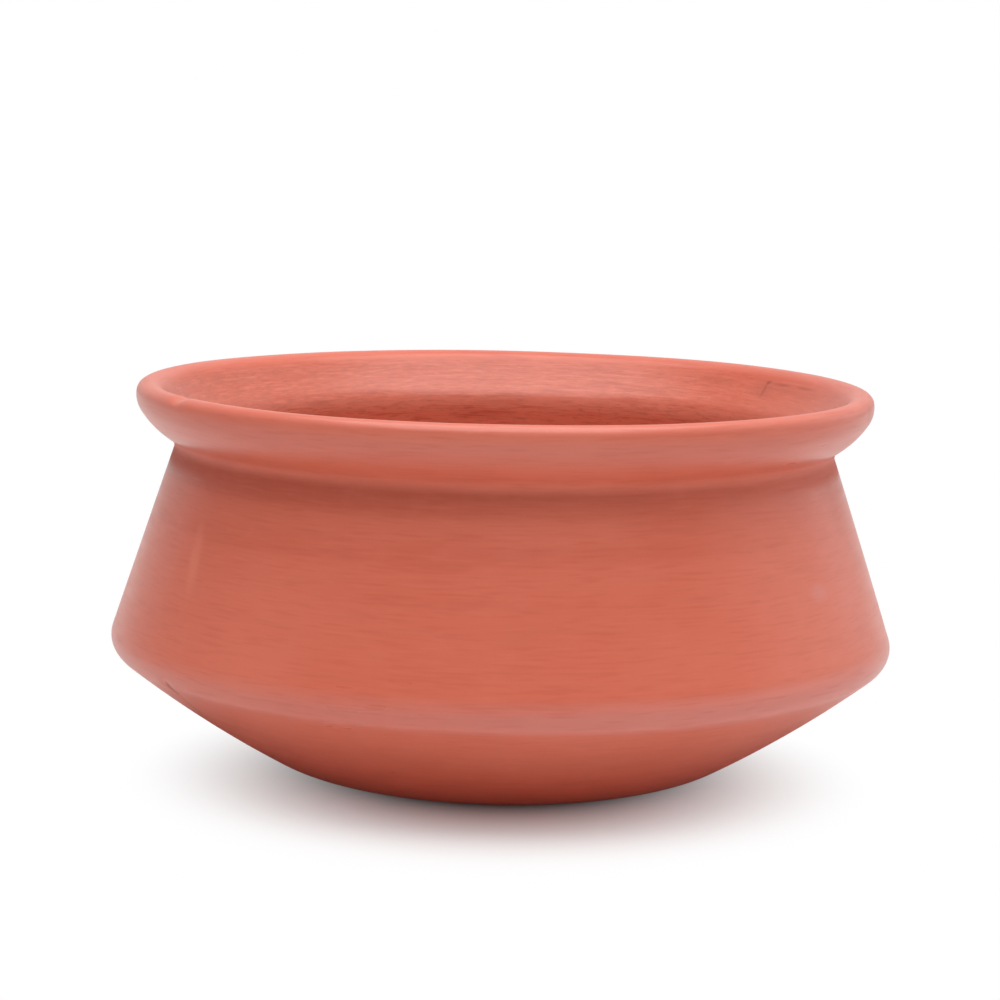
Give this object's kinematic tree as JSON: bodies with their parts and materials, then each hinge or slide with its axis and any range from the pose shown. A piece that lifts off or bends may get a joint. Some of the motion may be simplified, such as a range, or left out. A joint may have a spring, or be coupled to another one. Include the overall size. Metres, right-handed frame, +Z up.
{
  "type": "cooking pot",
  "caption": "Low round clay cooking pot with a flat base, a sharp belly edge, a straight sloping shoulder, a narrow throat and a flared rim with a rounded lip.",
  "frame": {"origin": "centre of the flat base, on the surface that the pot stands on", "axes": "+Z up along the axis that the pot is turned about, -Y towards the viewer of the picture, +X to the viewer's right"},
  "size_m": [0.2399, 0.24, 0.1161],
  "materials": {
    "clay": "unglazed burnished terracotta, satin"
  },
  "bodies": {
    "root": {"cooking_pot": "clay"}
  },
  "joints": []
}
